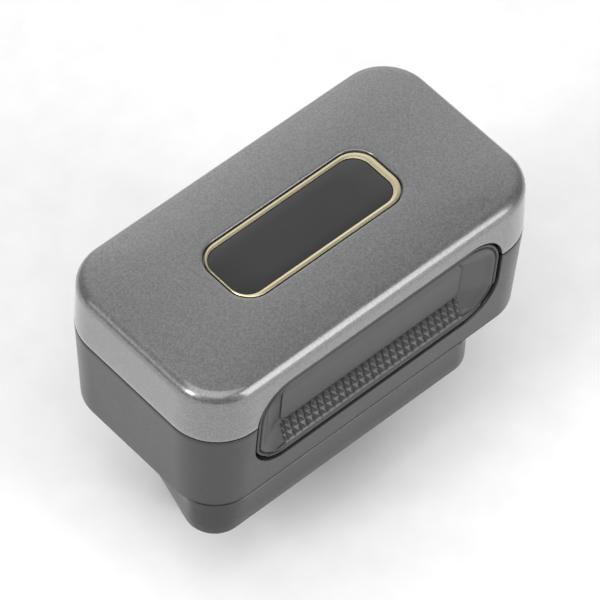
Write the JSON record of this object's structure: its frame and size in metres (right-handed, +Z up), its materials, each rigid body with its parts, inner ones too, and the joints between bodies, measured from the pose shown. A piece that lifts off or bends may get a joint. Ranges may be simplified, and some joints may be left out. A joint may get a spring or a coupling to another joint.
{
  "type": "plug-in vehicle bus analyser",
  "caption": "Palm-sized two-part case with a smoked indicator window, a sprung press pad on each long side and a D-shaped diagnostic plug under its base.",
  "frame": {"origin": "on the plane of the plug's open end, under the middle of the case", "axes": "+X along the case, -Y the side of the plug's wide edge and of the front press pad, +Z up out of the lid"},
  "size_m": [0.0714, 0.038, 0.0527],
  "materials": {
    "lid_paint": "moulded ABS sprayed with fine grey metallic paint, satin",
    "case_plastic": "dark grey spark-textured ABS",
    "soft_grip": "dark grey soft-touch elastomer, matte",
    "gold_ring": "turned and pale gold anodised",
    "smoked_window": "smoked polycarbonate, high gloss",
    "black_plastic": "glass-filled nylon, as moulded",
    "tinned_brass": "stamped and tin plated",
    "shield_tin": "tinned steel sheet",
    "screw_steel": "zinc plated",
    "capacitor_can": "drawn can",
    "circuit_board": "green solder mask over glass laminate",
    "clear_acrylic": "polished clear acrylic",
    "foam_tape": "black foam tape",
    "chip_black": "moulded epoxy",
    "led_lens": "cast epoxy and ceramic",
    "polyimide": "amber film",
    "rating_foil": "blank satin foil label"
  },
  "bodies": {
    "case": {"top_cover": "lid_paint", "lower_housing": "case_plastic", "window_bezel": "gold_ring", "window_lens": "smoked_window", "plug_shroud": "black_plastic", "board_header": "black_plastic", "board_socket": "black_plastic", "inner_frame": "black_plastic", "ribbon_connector": "black_plastic", "plug_blade_01": "tinned_brass", "plug_blade_02": "tinned_brass", "plug_blade_03": "tinned_brass", "plug_blade_04": "tinned_brass", "plug_blade_05": "tinned_brass", "plug_blade_06": "tinned_brass", "plug_blade_07": "tinned_brass", "plug_blade_08": "tinned_brass", "plug_blade_09": "tinned_brass", "plug_blade_10": "tinned_brass", "plug_blade_11": "tinned_brass", "plug_blade_12": "tinned_brass", "plug_blade_13": "tinned_brass", "plug_blade_14": "tinned_brass", "plug_blade_15": "tinned_brass", "plug_blade_16": "tinned_brass", "radio_shield": "shield_tin", "return_spring_front_left": "screw_steel", "return_spring_front_right": "screw_steel", "return_spring_rear_left": "screw_steel", "return_spring_rear_right": "screw_steel", "case_screw_front_left": "screw_steel", "case_screw_front_right": "screw_steel", "case_screw_rear_left": "screw_steel", "case_screw_rear_right": "screw_steel", "plug_screw_front": "screw_steel", "plug_screw_rear": "screw_steel", "frame_screw_left": "screw_steel", "frame_screw_right": "screw_steel", "reservoir_capacitor": "capacitor_can", "connector_board": "circuit_board", "main_board": "circuit_board", "indicator_board": "circuit_board", "light_guide": "clear_acrylic", "lens_tape": "foam_tape", "processor_chip": "chip_black", "bus_driver_chip": "chip_black", "power_inductor": "chip_black", "pad_switch_front": "chip_black", "pad_switch_rear": "chip_black", "indicator_led_left": "led_lens", "indicator_led_middle": "led_lens", "indicator_led_right": "led_lens", "radio_antenna": "led_lens", "indicator_ribbon": "polyimide", "rating_plate": "rating_foil"},
    "front_pad": {"press_pad_front": "soft_grip", "pad_carrier_front": "black_plastic"},
    "rear_pad": {"press_pad_rear": "soft_grip", "pad_carrier_rear": "black_plastic"}
  },
  "joints": [
    {"name": "front_pad_press", "type": "slide", "parent": "case", "child": "front_pad", "axis": [0, 1, 0], "range_m": [0, 0.001], "stiffness_N_per_m": 800, "springref_m": -0.0008, "deforming": ["return_spring_front_left", "return_spring_front_right"]},
    {"name": "rear_pad_press", "type": "slide", "parent": "case", "child": "rear_pad", "axis": [0, -1, 0], "range_m": [0, 0.001], "stiffness_N_per_m": 800, "springref_m": -0.0008, "deforming": ["return_spring_rear_left", "return_spring_rear_right"]}
  ]
}
